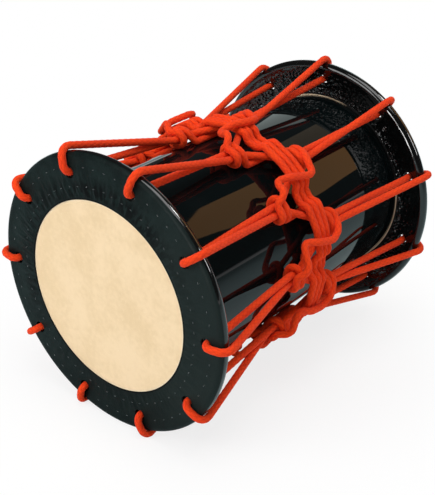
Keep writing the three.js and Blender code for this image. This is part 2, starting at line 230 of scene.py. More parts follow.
# Painted reflection: the floor's teal tint as glossy surfaces see it
FLOOR_PAINTED_REFLECTION_TINT = (0.72, 0.93, 0.95, 1)
AIR_IN_GLOSS = (0.06, 0.06, 0.06, 1)


def at(angle, y, radius, side=0.0):
    """A point in the drum's frame, moved sideways along the tangent."""
    turn = math.radians(angle)
    cos, sin = math.cos(turn), math.sin(turn)
    return Vector((radius * cos - side * sin, y, radius * sin + side * cos))


def photo_camera():
    cos, sin = math.cos(CAMERA_AZIMUTH), math.sin(CAMERA_AZIMUTH)
    level = math.cos(CAMERA_ELEVATION)
    across = Vector((cos, sin, 0))
    away = Vector((sin * level, -cos * level, math.sin(CAMERA_ELEVATION)))
    upward = away.cross(across)
    turned = Matrix.Rotation(TILT, 3, "X")
    axes = Matrix((turned @ across, turned @ upward, turned @ away)).transposed()
    lens = bpy.data.cameras.new("photo_camera")
    lens.sensor_fit = "AUTO"
    lens.sensor_width = SENSOR
    lens.lens = FOCAL_PIXELS * SENSOR / LONG_SIDE_PIXELS
    lens.clip_start, lens.clip_end = 0.05, 60
    camera = bpy.data.objects.new("photo_camera", lens)
    camera.matrix_world = Matrix.Translation(DRUM_TO_SCENE @ CAMERA_PLACE) @ axes.to_4x4()
    bpy.context.scene.collection.objects.link(camera)
    bpy.context.scene.camera = camera


# Shader helpers
def put(tree, kind, sockets=None, **settings):
    """Adds a node, sets its settings, and sets or links its input sockets."""
    made = tree.nodes.new(kind)
    for name, value in settings.items():
        setattr(made, name, value)
    for key, value in (sockets or {}).items():
        if isinstance(value, bpy.types.NodeSocket):
            tree.links.new(value, made.inputs[key])
        else:
            made.inputs[key].default_value = value
    return made


def sums(tree, operation, *values, clamp=False):
    settings = {"operation": operation, "use_clamp": clamp}
    return put(tree, "ShaderNodeMath", dict(enumerate(values)), **settings).outputs[0]


def product(tree, *factors):
    return sums(tree, "MULTIPLY", *factors)


def ease(tree, value, low, high, start=0.0, end=1.0):
    """A smooth step from start to end as the value goes from low to high."""
    step = {"Value": value, "From Min": low, "From Max": high, "To Min": start, "To Max": end}
    return put(tree, "ShaderNodeMapRange", step, interpolation_type="SMOOTHSTEP").outputs[0]


def blend_colour(tree, share, first, second):
    return put(tree, "ShaderNodeMix", {0: share, 6: first, 7: second}, data_type="RGBA").outputs[2]


def blend_shader(tree, share, first, second):
    return put(tree, "ShaderNodeMixShader", {0: share, 1: first.outputs[0], 2: second.outputs[0]})


def clouds(tree, spot, scale, detail):
    return put(tree, "ShaderNodeTexNoise", {"Vector": spot, "Scale": scale, "Detail": detail}).outputs["Fac"]


def cells(tree, spot, scale):
    """Distance from the middle of scattered cells."""
    return put(tree, "ShaderNodeTexVoronoi", {"Vector": spot, "Scale": scale}).outputs["Distance"]


def bump(tree, height, strength, distance):
    sockets = {"Height": height, "Strength": strength, "Distance": distance}
    return put(tree, "ShaderNodeBump", sockets).outputs[0]


def effect(name, inputs, outputs):
    """An empty shader group with named inputs and outputs."""
    tree = bpy.data.node_groups.new(name, "ShaderNodeTree")
    for direction, sockets in (("INPUT", inputs), ("OUTPUT", outputs)):
        for label, kind in sockets.items():
            tree.interface.new_socket(name=label, in_out=direction, socket_type="NodeSocket" + kind)
    given = tree.nodes.new("NodeGroupInput").outputs
    result = tree.nodes.new("NodeGroupOutput").inputs
    return tree, given, result


def use(tree, group, **sockets):
    return put(tree, "ShaderNodeGroup", sockets, node_tree=group).outputs


# Effects that several finishes share
def drum_place_effect():
    """Radius, place along the axis and angle, in the drum's frame and in millimetres."""
    outputs = {"Spot": "Vector", "Radius": "Float", "Along": "Float", "Turn": "Float"}
    tree, given, result = effect("drum_place", {"Place": "Vector"}, outputs)
    rest = {"Location": REST_PLACE, "Rotation": (TILT, 0, 0), "Scale": (MM, MM, MM)}
    sockets = {"Vector": given["Place"], **rest}
    spot = put(tree, "ShaderNodeMapping", sockets, vector_type="TEXTURE").outputs[0]
    parts = put(tree, "ShaderNodeSeparateXYZ", {0: spot}).outputs
    squares = sums(tree, "ADD", product(tree, parts["X"], parts["X"]), product(tree, parts["Z"], parts["Z"]))
    tree.links.new(spot, result["Spot"])
    tree.links.new(sums(tree, "SQRT", squares), result["Radius"])
    tree.links.new(parts["Y"], result["Along"])
    tree.links.new(sums(tree, "ARCTAN2", parts["Z"], parts["X"]), result["Turn"])
    return tree


def tone_drift_effect():
    """A base colour that drifts to a second one in slow clouds and fine flecks."""
    tree, given, result = effect(
        "tone_drift",
        {"Spot": "Vector", "Scale": "Float", "Base": "Color", "Drift": "Color", "Amount": "Float"},
        {"Colour": "Color", "Share": "Float"},
    )
    slow = clouds(tree, given["Spot"], given["Scale"], 3.0)
    quick = clouds(tree, given["Spot"], product(tree, given["Scale"], 7.3), 4.0)
    both = sums(tree, "ADD", product(tree, slow, 0.65), product(tree, quick, 0.35))
    share = sums(tree, "MULTIPLY", ease(tree, both, 0.36, 0.64), given["Amount"], clamp=True)
    tree.links.new(blend_colour(tree, share, given["Base"], given["Drift"]), result["Colour"])
    tree.links.new(share, result["Share"])
    return tree


def fine_relief_effect():
    """A height with pores and a fine grain."""
    inputs = {"Spot": "Vector", "Scale": "Float", "Pores": "Float"}
    tree, given, result = effect("fine_relief", inputs, {"Height": "Float"})
    grain = clouds(tree, given["Spot"], given["Scale"], 5.0)
    pores = product(tree, cells(tree, given["Spot"], given["Scale"]), given["Pores"])
    tree.links.new(sums(tree, "ADD", grain, pores), result["Height"])
    return tree


def handling_effect():
    """A mask of sparse dust specks and of faint rubbing, for hard finishes."""
    inputs = {"Spot": "Vector", "Specks": "Float", "Rubbing": "Float"}
    tree, given, result = effect("handling", inputs, {"Mask": "Float"})
    dust = ease(tree, cells(tree, given["Spot"], 0.16), 0.05, 0.11, 1.0, 0.0)
    rubbing = ease(tree, clouds(tree, given["Spot"], 0.018, 4.0), 0.5, 0.72)
    specks = product(tree, dust, given["Specks"])
    rubbed = product(tree, rubbing, given["Rubbing"])
    tree.links.new(sums(tree, "ADD", specks, rubbed, clamp=True), result["Mask"])
    return tree


DRUM_PLACE = drum_place_effect()
TONE_DRIFT = tone_drift_effect()
FINE_RELIEF = fine_relief_effect()
HANDLING = handling_effect()


# Finishes
def finish(name):
    """A new material, with its shader and the drum's own coordinates."""
    material = bpy.data.materials.new(name)
    material.use_nodes = True
    tree = material.node_tree
    tree.nodes.clear()
    shader = put(tree, "ShaderNodeBsdfPrincipled")
    put(tree, "ShaderNodeOutputMaterial", {"Surface": shader.outputs[0]})
    place = put(tree, "ShaderNodeTexCoord").outputs["Object"]
    return material, tree, shader.inputs, use(tree, DRUM_PLACE, Place=place)


def compass(tree, drum):
    """How far right and how far up a spot lies on the round of the drum, from -1 to 1."""
    return sums(tree, "COSINE", drum["Turn"]), sums(tree, "SINE", drum["Turn"])


def toward(tree, right_up, right_share, up_share):
    """How far a spot lies towards one side of the round."""
    right, up = right_up
    return sums(tree, "ADD", product(tree, right, right_share), product(tree, up, up_share))


def shell_lacquer():
    """Deep black gloss with a little dust and very slow waves."""
    material, tree, shader, drum = finish("shell_black_lacquer")
    mask = use(tree, HANDLING, Spot=drum["Spot"], Specks=0.35, Rubbing=0.25)["Mask"]
    tree.links.new(blend_colour(tree, mask, SHELL_BLACK, SHELL_DUST), shader["Base Color"])
    tree.links.new(ease(tree, mask, 0.0, 1.0, 0.035, 0.16), shader["Roughness"])
    waves = clouds(tree, drum["Spot"], 0.012, 1.0)
    tree.links.new(bump(tree, waves, 0.25, 0.0012), shader["Normal"])
    shader["IOR"].default_value = 1.5
    shader["Specular IOR Level"].default_value = 0.25
    return material


def hide_skin():
    """Cream skin, with a painted highlight by the margin. Lacquer has soaked the hem and runs over it along
    one stretch.
    """
    material, tree, shader, drum = finish("hide_cream_skin")
    spot, radius = drum["Spot"], drum["Radius"]
    tones = use(tree, TONE_DRIFT, Spot=spot, Scale=0.021, Base=CREAM, Drift=CREAM_DEEP, Amount=0.9)["Colour"]
    flecks = clouds(tree, spot, 0.34, 5.0)
    speckled = blend_colour(tree, ease(tree, flecks, 0.56, 0.74, 0.0, 0.35), tones, CREAM_FLECK)
    # Painted highlight: the cream turns lighter over the last millimetres before the margin
    painted_edge_highlight = ease(tree, radius, CREAM_RADIUS - 2.2, CREAM_RADIUS - 0.8, 0.0, 0.45)
    shaded = blend_colour(tree, painted_edge_highlight, speckled, CREAM_PAINTED_HIGHLIGHT)
    soaked = ease(tree, radius, HEM_EDGE - 3.9, HEM_EDGE - 3.2)
    stretch = sums(tree, "ADD", toward(tree, compass(tree, drum), 0.74, 0.67), product(tree, flecks, 0.12))
    hem = ease(tree, radius, CREAM_RADIUS + 1.4, CREAM_RADIUS + 2.4)
    overrun = product(tree, ease(tree, stretch, 0.855, 0.925), hem)
    lacquered = sums(tree, "MAXIMUM", soaked, overrun)
    tree.links.new(blend_colour(tree, lacquered, shaded, HEM_BLACK), shader["Base Color"])
    tree.links.new(ease(tree, flecks, 0.3, 0.7, 0.48, 0.62), shader["Roughness"])
    height = use(tree, FINE_RELIEF, Spot=spot, Scale=0.9, Pores=0.5)["Height"]
    tree.links.new(bump(tree, height, 0.18, 0.0004), shader["Normal"])
    shader["Specular IOR Level"].default_value = 0.3
    return material


def margin_satin(tree, drum, right_up):
    """Drifting black, lighter towards the right by painted light and deeper at the foot by painted shade."""
    right, up = right_up
    spot = drum["Spot"]
    tones = use(tree, TONE_DRIFT, Spot=spot, Scale=0.06, Base=SATIN_BLACK, Drift=SATIN_DEEP, Amount=0.8)
    # Painted light on the right side of the margin
    painted_light_right = blend_colour(tree, ease(tree, right, 0.2, 0.95, 0.0, 0.8), tones["Colour"], SATIN_PAINTED_LIGHT)
    # Painted shade at the foot of the margin
    return blend_colour(tree, ease(tree, up, -0.95, -0.55, 0.6, 0.0), painted_light_right, SATIN_PAINTED_SHADE)


def margin_painted_shade(tree, drum, right_up):
    """A mask of painted shade: dark puckers by the cream circle, most at the upper left, and a shadow line
    along the margin's edge by the cream.
    """
    radius = drum["Radius"]
    ring = {i: product(tree, wave, 24.0) for i, wave in enumerate(right_up)}
    radial = put(tree, "ShaderNodeCombineXYZ", {**ring, 2: product(tree, radius, 0.09)}).outputs[0]
    strokes = clouds(tree, radial, 1.0, 3.0)
    patches = clouds(tree, drum["Spot"], 0.011, 1.0)
    ragged = sums(tree, "ADD", radius, product(tree, strokes, 16.0))
    # Painted shade in the puckers beside the cream circle
    near = product(tree, ease(tree, radius, *FOLD_RISE), ease(tree, ragged, *FOLD_FADE, 1.0, 0.0))
    upper_left = ease(tree, toward(tree, right_up, -0.57, 0.82), -0.3, 0.6, 0.15, 1.0)
    fold = product(tree, ease(tree, strokes, 0.42, 0.54), ease(tree, patches, 0.36, 0.56, 0.6, 1.0))
    painted_pucker_shade = product(tree, product(tree, fold, near), upper_left)
    # Painted shadow: a dark line along the margin's raised edge by the cream
    painted_lip_shadow = ease(tree, radius, CREAM_RADIUS + 1.4, CREAM_RADIUS + 3.0, 1.0, 0.0)
    return product(tree, sums(tree, "MAXIMUM", painted_pucker_shade, painted_lip_shadow), 0.95)


def margin_lacquer():
    """Satin on the flat margin, with painted shade in its puckers; gloss on the bead and on the drum side."""
    material, tree, shader, drum = finish("margin_black_lacquer")
    flat = ease(tree, sums(tree, "ABSOLUTE", drum["Along"]), HOOP_Y + 2.2, HOOP_Y + 4.4)
    mask = use(tree, HANDLING, Spot=drum["Spot"], Specks=0.5, Rubbing=0.5)["Mask"]
    right_up = compass(tree, drum)
    satin = margin_satin(tree, drum, right_up)
    # Painted shade darkens the puckers and the margin's edge by the cream
    face = blend_colour(tree, margin_painted_shade(tree, drum, right_up), satin, FOLD_PAINTED_SHADE)
    clean = blend_colour(tree, flat, BEAD_BLACK, face)
    tree.links.new(blend_colour(tree, product(tree, mask, 0.2), clean, MARGIN_DUST), shader["Base Color"])
    rough = sums(tree, "ADD", ease(tree, flat, 0.0, 1.0, 0.16, 0.42), product(tree, mask, 0.12))
    tree.links.new(rough, shader["Roughness"])
    tree.links.new(ease(tree, flat, 0.0, 1.0, 1.0, 0.0), shader["Coat Weight"])
    height = use(tree, FINE_RELIEF, Spot=drum["Spot"], Scale=0.55, Pores=0.7)["Height"]
    tree.links.new(bump(tree, height, 0.3, 0.0004), shader["Normal"])
    shader["Specular IOR Level"].default_value = 0.05
    shader["Coat Roughness"].default_value = 0.06
    return material


def stitch_thread():
    """Thread under the lacquer: dark, glossy and slightly ribbed."""
    material, tree, shader, drum = finish("stitch_lacquered_thread")
    spot = drum["Spot"]
    tones = use(tree, TONE_DRIFT, Spot=spot, Scale=0.3, Base=THREAD_BLACK, Drift=THREAD_GREY, Amount=0.6)
    tree.links.new(tones["Colour"], shader["Base Color"])
    tree.links.new(ease(tree, tones["Share"], 0.0, 0.6, 0.17, 0.3), shader["Roughness"])
    height = use(tree, FINE_RELIEF, Spot=spot, Scale=1.6, Pores=0.3)["Height"]
    tree.links.new(bump(tree, height, 0.2, 0.0003), shader["Normal"])
    return material


def hoop_iron():
    """Forged iron with rust in clouds."""
    material, tree, shader, drum = finish("hoop_forged_iron")
    spot = drum["Spot"]
    tones = use(tree, TONE_DRIFT, Spot=spot, Scale=0.08, Base=IRON_GREY, Drift=IRON_RUST, Amount=0.5)
    tree.links.new(tones["Colour"], shader["Base Color"])
    tree.links.new(ease(tree, tones["Share"], 0.0, 0.5, 0.45, 0.8), shader["Roughness"])
    tree.links.new(ease(tree, tones["Share"], 0.0, 0.5, 0.9, 0.4), shader["Metallic"])
    height = use(tree, FINE_RELIEF, Spot=spot, Scale=0.7, Pores=0.3)["Height"]
    tree.links.new(bump(tree, height, 0.3, 0.0005), shader["Normal"])
    return material


def red_rope():
    """A braid that follows the rope's own run: two sets of strands crossing over and under, with painted
    shade in the grooves between them.
    """
    material, tree, shader, drum = finish("rope_red_braid")
    rope_map = put(tree, "ShaderNodeUVMap", uv_map="rope_run").outputs[0]
    run = put(tree, "ShaderNodeSeparateXYZ", {0: rope_map}).outputs
    around = product(tree, run["Y"], BRAID_STARTS)
    strands = []
    for lean in ("ADD", "SUBTRACT"):
        phase = product(tree, sums(tree, lean, around, run["X"]), math.pi)
        strands.append(sums(tree, "ABSOLUTE", sums(tree, "COSINE", phase)))
    weave = product(tree, *strands)
    stretched = {0: product(tree, run["X"], 2.0), 1: product(tree, run["Y"], 34.0)}
    fibre = clouds(tree, put(tree, "ShaderNodeCombineXYZ", stretched).outputs[0], 1.6, 3.0)
    tones = use(tree, TONE_DRIFT, Spot=drum["Spot"], Scale=0.05, Base=ROPE_RED, Drift=ROPE_DEEP, Amount=0.7)
    # Painted shade: the grooves between strands are darkened
    shaded = blend_colour(tree, ease(tree, weave, 0.0, 0.4, 0.3, 0.0), tones["Colour"], ROPE_PAINTED_SHADE)
    worn = blend_colour(tree, ease(tree, fibre, 0.58, 0.8, 0.0, 0.22), shaded, ROPE_FIBRE)
    tree.links.new(worn, shader["Base Color"])
    tree.links.new(ease(tree, fibre, 0.3, 0.7, 0.78, 0.95), shader["Roughness"])
    height = sums(tree, "ADD", weave, product(tree, fibre, 0.35))
    tree.links.new(bump(tree, height, 0.45, 0.0005), shader["Normal"])
    shader["Specular IOR Level"].default_value = 0.12
    shader["Sheen Weight"].default_value = 0.04
    shader["Sheen Roughness"].default_value = 0.5
    return material


LACQUER = shell_lacquer()
SKIN = hide_skin()
MARGIN = margin_lacquer()
THREAD = stitch_thread()
IRON = hoop_iron()
ROPE = red_rope()


# Making pieces
def show(name, mesh, material, nodes):
    piece = bpy.data.objects.new(name, mesh)
    piece.data.materials.clear()
    piece.data.materials.append(material)
    bpy.context.scene.collection.objects.link(piece)
    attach(piece, "root")
    if nodes:
        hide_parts(*nodes)


def as_mesh(name, shape):
    """Moves a shape from the drum's frame to the scene and gives its mesh."""
    bmesh.ops.transform(shape, matrix=DRUM_TO_SCENE, verts=shape.verts)
    mesh = bpy.data.meshes.new(name)
    shape.to_mesh(mesh)
    shape.free()
    return mesh


def evaluated_mesh(piece):
    """The mesh that a curve or a piece with modifiers comes to."""
    bpy.context.view_layer.update()
    return bpy.data.meshes.new_from_object(piece.evaluated_get(bpy.context.evaluated_depsgraph_get()))


def soften(mesh, degrees):
    mesh.shade_smooth()
    mesh.set_sharp_from_angle(angle=math.radians(degrees))
    return mesh


def line_to(shape, start, radius, y, cuts=0):
    """Draws a section on to a new corner, with cuts on the way."""
    corner, origin, goal = start, start.co.copy(), Vector((radius, y, 0))
    for i in range(cuts + 1):
        corner = bmesh.ops.extrude_vert_indiv(shape, verts=[corner])["verts"][0]
        corner.co = origin.lerp(goal, (i + 1) / (cuts + 1))
    return corner


def arc_to(shape, start, centre, degrees, steps):
    """Draws a section on round a centre."""
    bend = {"cent": (*centre, 0), "axis": (0, 0, 1), "angle": math.radians(degrees), "steps": steps}
    drawn = bmesh.ops.spin(shape, geom=[start], use_duplicate=False, **bend)
    return next(part for part in drawn["geom_last"] if isinstance(part, bmesh.types.BMVert))


def spun(shape, steps):
    """Spins a section round the drum's axis into a closed shape."""
    bmesh.ops.remove_doubles(shape, verts=shape.verts, dist=1e-4)
    section = shape.verts[:] + shape.edges[:]
    full_turn = {"cent": (0, 0, 0), "axis": (0, 1, 0), "angle": math.tau, "steps": steps}
    bmesh.ops.spin(shape, geom=section, use_merge=True, **full_turn)
    bmesh.ops.remove_doubles(shape, verts=shape.verts, dist=1e-4)
    bmesh.ops.recalc_face_normals(shape, faces=shape.faces)
    return shape


def mirrored(shape, end):
    """Turns a rear head's shape round for the front."""
    if end < 0:
        bmesh.ops.scale(shape, vec=(1, -1, 1), verts=shape.verts)
        bmesh.ops.reverse_faces(shape, faces=shape.faces)
    return shape


def hole_angles(end):
    first = 0 if end < 0 else PITCH / 2
    return [first + PITCH * k for k in range(HOLE_COUNT)]


def drilled(mesh, end, radius):
    """Cuts the lacing holes through a head's piece."""
    drill = bmesh.new()
    upright = Matrix.Rotation(math.pi / 2, 4, "X")
    round_bit = {"segments": DRILL_SIDES, "radius1": radius, "radius2": radius, "depth": DRILL_DEPTH}
    for angle in hole_angles(end):
        place = Matrix.Translation(at(angle, end * HOOP_Y, HOLE_CIRCLE)) @ upright
        bmesh.ops.create_cone(drill, cap_ends=True, matrix=place, **round_bit)
    cutter = bpy.data.objects.new("hole_drill", as_mesh("hole_drill", drill))
    blank = bpy.data.objects.new("blank", mesh)
    for part in (cutter, blank):
        bpy.context.scene.collection.objects.link(part)
    cut = blank.modifiers.new("holes", "BOOLEAN")
    cut.operation, cut.solver, cut.object = "DIFFERENCE", "EXACT", cutter
    result = evaluated_mesh(blank)
    for part in (cutter, blank):
        bpy.data.objects.remove(part)
    return result


# Shell: a lacquered tube with eased edges
def shell_piece():
    shape = bmesh.new()
    outer, inner, end = SHELL_RADIUS, SHELL_RADIUS - SHELL_WALL, SHELL_END
    corner = shape.verts.new((outer - SHELL_EDGE, -end, 0))
    corner = arc_to(shape, corner, (outer - SHELL_EDGE, -end + SHELL_EDGE), 90, 4)
    corner = line_to(shape, corner, outer, end - SHELL_EDGE, cuts=9)
    corner = arc_to(shape, corner, (outer - SHELL_EDGE, end - SHELL_EDGE), 90, 4)
    corner = line_to(shape, corner, inner, end)
    corner = line_to(shape, corner, inner, -end, cuts=9)
    line_to(shape, corner, outer - SHELL_EDGE, -end)
    mesh = soften(as_mesh("drum_shell", spun(shape, SHELL_STEPS)), 35)
    staves = [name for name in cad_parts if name.startswith("stave_")]
    show("drum_shell", mesh, LACQUER, staves)


# Heads: the hide, the lacquered margin and its stitches
def slope_share(radius):
    """How far a radius lies on the slope from the shoulder to the hoop."""
    return (radius - SHOULDER_RADIUS) / (HOOP_RADIUS - SHOULDER_RADIUS)


def hem_level(radius):
    """Height of the hem's face on the drum side."""
    rise = HOOP_Y + HIDE_BEAD - HIDE_THICKNESS - HIDE_INNER_Y
    return HIDE_INNER_Y + rise * slope_share(radius) - COAT_GAP - HIDE_THICKNESS


def hide_piece(label, end):
    inner_bead = HIDE_BEAD - HIDE_THICKNESS
    top = HIDE_INNER_Y + HIDE_THICKNESS
    shape = bmesh.new()
    corner = shape.verts.new((0, top, 0))
    corner = line_to(shape, corner, SHOULDER_RADIUS, top, cuts=11)
    corner = line_to(shape, corner, HOOP_RADIUS, HOOP_Y + HIDE_BEAD, cuts=3)
    corner = arc_to(shape, corner, BEAD_CENTRE, -180, 10)
    corner = line_to(shape, corner, HEM_BEND, hem_level(HEM_BEND), cuts=2)
    corner = line_to(shape, corner, HEM_EDGE, hem_level(HEM_EDGE))
    corner = line_to(shape, corner, HEM_EDGE, hem_level(HEM_EDGE) + HIDE_THICKNESS)
    corner = line_to(shape, corner, HEM_BEND, hem_level(HEM_BEND) + HIDE_THICKNESS)
    corner = line_to(shape, corner, HOOP_RADIUS, HOOP_Y - inner_bead, cuts=2)
    corner = arc_to(shape, corner, BEAD_CENTRE, 180, 8)
    corner = line_to(shape, corner, SHOULDER_RADIUS, HIDE_INNER_Y, cuts=3)
    line_to(shape, corner, 0, HIDE_INNER_Y, cuts=5)
    name = label + "_head_hide"
    mesh = as_mesh(name, mirrored(spun(shape, HIDE_STEPS), end))
    mesh = soften(drilled(mesh, end, HIDE_HOLE_RADIUS), 40)
    mesh.name = name
    show(name, mesh, SKIN, [label + "_hide"])


def smooth_share(value, low, high):
    share = min(max((value - low) / (high - low), 0.0), 1.0)
    return share * share * (3 - 2 * share)


def face_pucker(radius, turn, end):
    """Shallow radial puckers of the stretched margin, beside the cream circle and over the stitches."""
    spot = Vector((math.cos(turn + end), math.sin(turn + end), 0))
    least_at_foot = 0.35 + 0.65 * smooth_share(math.sin(turn), -0.75, 0.45)
    slow = 0.5 + 0.5 * noise.noise(spot * 1.7 + Vector((3.1, 0.4, 7.7)))
    wrinkle = noise.turbulence(Vector((spot.x * 20, spot.y * 20, radius * 0.05)), 2, False)
    band = smooth_share(radius, *PUCKER_RISE) * (1 - 0.75 * smooth_share(radius, *PUCKER_FADE))
    band *= 1 - smooth_share(radius, *PUCKER_END)
    return PUCKER_HEIGHT * least_at_foot * band * (0.3 + slow) * wrinkle


def hem_pleat(radius, turn, end):
    """Gathers and crinkles of the folded hem on the drum side, deepest at its inner edge."""
    spot = Vector((math.cos(turn + end), math.sin(turn + end), 0))
    drift = noise.noise(spot * 3.3 + Vector((0, 0, 5.2)))
    ridge = 0.5 + 0.5 * math.cos(STITCH_COUNT * (turn + end) + 2.2 * drift)
    crumple = noise.turbulence(Vector((spot.x * 38, spot.y * 38, radius * 0.27)), 2, True)
    reach = 1 - smooth_share(radius, *PLEAT_FADE)
    edge = 1 - 0.75 * smooth_share(radius, *PLEAT_END)
    return edge * (PLEAT_HEIGHT * reach * ridge * ridge + CRUMPLE_HEIGHT * crumple * (0.5 + 0.5 * reach))


def crinkled(name, mesh, end):
    """Puckers the outer face of a drilled coat and crinkles its drum side."""
    shape = bmesh.new()
    shape.from_mesh(mesh)
    bmesh.ops.transform(shape, matrix=DRUM_TO_SCENE.inverted(), verts=shape.verts)
    for vert in shape.verts:
        radius, turn = math.hypot(vert.co.x, vert.co.z), math.atan2(vert.co.z, vert.co.x)
        if radius < HOOP_RADIUS:
            outside = end * vert.co.y > OUTER_SIDE_Y
            vert.co.y += end * (face_pucker(radius, turn, end) if outside else -hem_pleat(radius, turn, end))
    return as_mesh(name, shape)


def coat_piece(label, end):
    shape = bmesh.new()
    lip_y = COAT_FLOOR_Y + COAT_THICKNESS - COAT_LIP
    hem_inner = {radius: hem_level(radius) - COAT_GAP for radius in (HEM_BEND, COAT_EDGE)}
    corner = shape.verts.new((CREAM_RADIUS, COAT_FLOOR_Y, 0))
    corner = line_to(shape, corner, CREAM_RADIUS, lip_y)
    corner = arc_to(shape, corner, (CREAM_RADIUS + COAT_LIP, lip_y), -90, 3)
    corner = line_to(shape, corner, SHOULDER_RADIUS, COAT_FACE_Y, cuts=3)
    corner = line_to(shape, corner, HOOP_RADIUS, HOOP_Y + COAT_BEAD, cuts=23)
    corner = arc_to(shape, corner, BEAD_CENTRE, -180, 14)
    corner = line_to(shape, corner, HEM_BEND, hem_inner[HEM_BEND] - COAT_THICKNESS, cuts=27)
    corner = line_to(shape, corner, COAT_EDGE, hem_inner[COAT_EDGE] - COAT_THICKNESS, cuts=5)
    corner = line_to(shape, corner, COAT_EDGE, hem_inner[COAT_EDGE])
    corner = line_to(shape, corner, HEM_BEND, hem_inner[HEM_BEND], cuts=1)
    corner = line_to(shape, corner, HOOP_RADIUS, HOOP_Y - COAT_BEAD + COAT_THICKNESS, cuts=5)
    corner = arc_to(shape, corner, BEAD_CENTRE, 180, 14)
    corner = line_to(shape, corner, SHOULDER_RADIUS, COAT_FLOOR_Y, cuts=5)
    line_to(shape, corner, CREAM_RADIUS, COAT_FLOOR_Y, cuts=1)
    name = label + "_margin_coat"
    mesh = drilled(as_mesh(name, mirrored(spun(shape, COAT_STEPS), end)), end, HOLE_RADIUS)
    mesh = soften(crinkled(name, mesh, end), 50)
    show(name, mesh, MARGIN, [label + "_lacquer_margin"])


def beside_hole(angle, end):
    """Whether a stitch of the ring by the holes would run into one."""
    return min(abs((angle - hole + 180) % 360 - 180) for hole in hole_angles(end)) < STITCH_HOLE_ANGLE


def stitch_piece(label, end):
    """Lacquered stitches in two rings, on the outer face and on the drum side."""
    shape = bmesh.new()
    for radius in STITCH_RINGS:
        outer = COAT_FACE_Y + (HOOP_Y + COAT_BEAD - COAT_FACE_Y) * slope_share(radius)
        inner = hem_level(radius) - COAT_GAP - COAT_THICKNESS
        for k in range(STITCH_COUNT):
            angle = 360 * (k + 0.5) / STITCH_COUNT + 0.9 * noise.noise(Vector((k * 3.7, radius, end * 9.0)))
            if radius > HOLE_CIRCLE and beside_hole(angle, end):
                continue
            turn = math.radians(angle)
            lean = math.radians(90 - angle + 35 * noise.noise(Vector((k * 1.9, 4.0, radius))))
            outside = (outer + face_pucker(radius, turn, end), STITCH_RISE_OUTSIDE)
            inside = (inner - hem_pleat(radius, turn, end), STITCH_RISE_INSIDE)
            for level, height in (outside, inside):
                place = Matrix.Translation(at(angle, level, radius)) @ Matrix.Rotation(lean, 4, "Y")
                size = Matrix.Diagonal((STITCH_LENGTH, height, STITCH_WIDTH, 1))
                bmesh.ops.create_uvsphere(shape, u_segments=8, v_segments=5, radius=1, matrix=place @ size)
    name = label + "_head_stitches"
    mesh = soften(as_mesh(name, mirrored(shape, end)), 60)
    show(name, mesh, THREAD, [])


# Rope routes, in the drum's frame
def rim_route(from_radius, from_y):
    """Round the bead, down the face and into the hole, as radius and outward y."""
    gap_radius, gap_y = RIM_CENTRE - from_radius, HOOP_Y - from_y
    spread = math.acos(RIM_RADIUS / math.hypot(gap_radius, gap_y))
    touch = math.degrees(math.atan2(-gap_y, -gap_radius) + spread)
    route = []
    for i in range(RIM_STEPS + 1):
        turn = math.radians(touch + (RIM_LAST_ANGLE - touch) * i / RIM_STEPS)
        route.append((RIM_CENTRE + RIM_RADIUS * math.cos(turn), HOOP_Y + RIM_RADIUS * math.sin(turn)))
    for angle in (90, 135, 180):
        turn = math.radians(angle)
        radius = HOLE_CIRCLE + HOLE_BEND + HOLE_BEND * math.cos(turn)
        route.append((radius, FACE_Y - HOLE_BEND + HOLE_BEND * math.sin(turn)))
    return route


def leg_route(low_end, low_angle, high_end, high_angle):
    """Out of a hole at one head, past both hitches and over the rim at the other."""
    hitch = {-1: FRONT_HITCH_Y, 1: REAR_HITCH_Y}
    low_side, high_side = low_angle + PAIR_ANGLE, high_angle - PAIR_ANGLE
    low_far, low_near = hitch[low_end] + low_end * HITCH_REST, hitch[low_end] - low_end * HITCH_REST
    high_near, high_far = hitch[high_end] - high_end * HITCH_REST, hitch[high_end] + high_end * HITCH_REST
    route = [
        at(low_angle, low_end * HOOP_Y, HOLE_CIRCLE),
        at(low_angle, low_end * HOLE_EXIT_Y, HOLE_CIRCLE),
        at(low_side, low_far, WAIST),
        at(low_side, low_near, WAIST),
        at((low_side + high_side) / 2, (low_near + high_near) / 2, WAIST),
        at(high_side, high_near, WAIST),
        at(high_side, high_far, WAIST),
    ]
    over_rim = rim_route(WAIST, high_end * high_far)
    return route + [at(high_angle, high_end * y, radius) for radius, y in over_rim]


def lacing_route():
    route = []
    for k in range(HOLE_COUNT):
        front = PITCH * k
        route += leg_route(-1, front, 1, front + PITCH / 2)
        route += leg_route(1, front + PITCH / 2, -1, front + PITCH)
    return route


def hitch_turn(angle, first, last, from_y):
    """Wraps round a pair, from step to step of a half turn."""
    route = []
    for i in range(first, last + 1):
        half, part = divmod(i, TURN_STEPS + 1)
        turn = math.radians(90 - 180 * half - 180 * part / TURN_STEPS)
        strand = PAIR_HALF if half % 2 == 0 else -PAIR_HALF
        y = from_y - WRAP_STEP * (i - first)
        route.append(at(angle, y, WAIST + TURN_RISE * math.sin(turn), strand + TURN_RISE * math.cos(turn)))
    return route


def by_pair(angle, hitch_y, rows):
    return [at(angle, hitch_y + y, radius, side) for y, radius, side in rows]


def cross_strand(front, rear, reach):
    """Back over the first wrap of a front pair, out in a bight, across the band and on to the rear pair."""
    route = by_pair(front, FRONT_HITCH_Y, STRAND_START)
    for short, y, radius in STRAND_BIGHT + STRAND_OVER_BAND:
        route.append(at(front + (reach - short) * PITCH, FRONT_HITCH_Y + y, radius))
    return route + by_pair(rear, REAR_HITCH_Y, STRAND_END)


